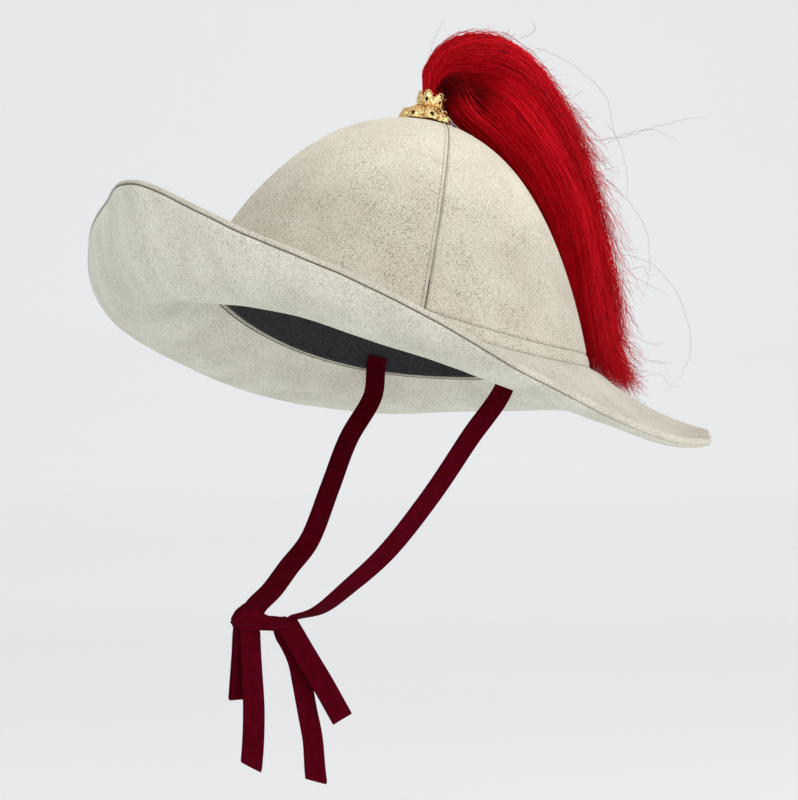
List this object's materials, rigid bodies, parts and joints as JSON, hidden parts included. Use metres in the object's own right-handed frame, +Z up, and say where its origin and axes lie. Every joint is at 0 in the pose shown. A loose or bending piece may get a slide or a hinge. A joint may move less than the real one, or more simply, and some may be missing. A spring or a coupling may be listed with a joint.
{
  "type": "rolled-brim felt hat",
  "caption": "Felt hat with a sewn domed crown, a wide brim rolled up at the front, a gold finial holding a red hair plume, and a chin ribbon tied in a bow.",
  "frame": {"origin": "middle of the head opening at the seam between crown and brim, where the hat sits on the head", "axes": "+Z up as worn, the wearer faces -X, the wearer's left is -Y"},
  "size_m": [0.3311, 0.3268, 0.3889],
  "materials": {
    "cream_felt": "soft heathered felt",
    "dark_band": "matte cloth",
    "gold_metal": "polished cast filigree",
    "red_hair": "dyed hair",
    "wine_ribbon": "matte ribbed ribbon"
  },
  "bodies": {
    "root": {"crown_panel_front_left": "cream_felt", "crown_panel_front_right": "cream_felt", "crown_panel_back_left": "cream_felt", "crown_panel_back_right": "cream_felt", "crown_band": "cream_felt", "brim_top": "cream_felt", "brim_under": "cream_felt", "sweatband": "dark_band", "finial": "gold_metal", "plume": "red_hair", "chin_ribbon_left": "wine_ribbon", "chin_ribbon_right": "wine_ribbon", "bow_knot": "wine_ribbon", "bow_loop_front": "wine_ribbon", "bow_loop_back": "wine_ribbon", "bow_tail_front": "wine_ribbon", "bow_tail_back": "wine_ribbon"}
  },
  "joints": []
}
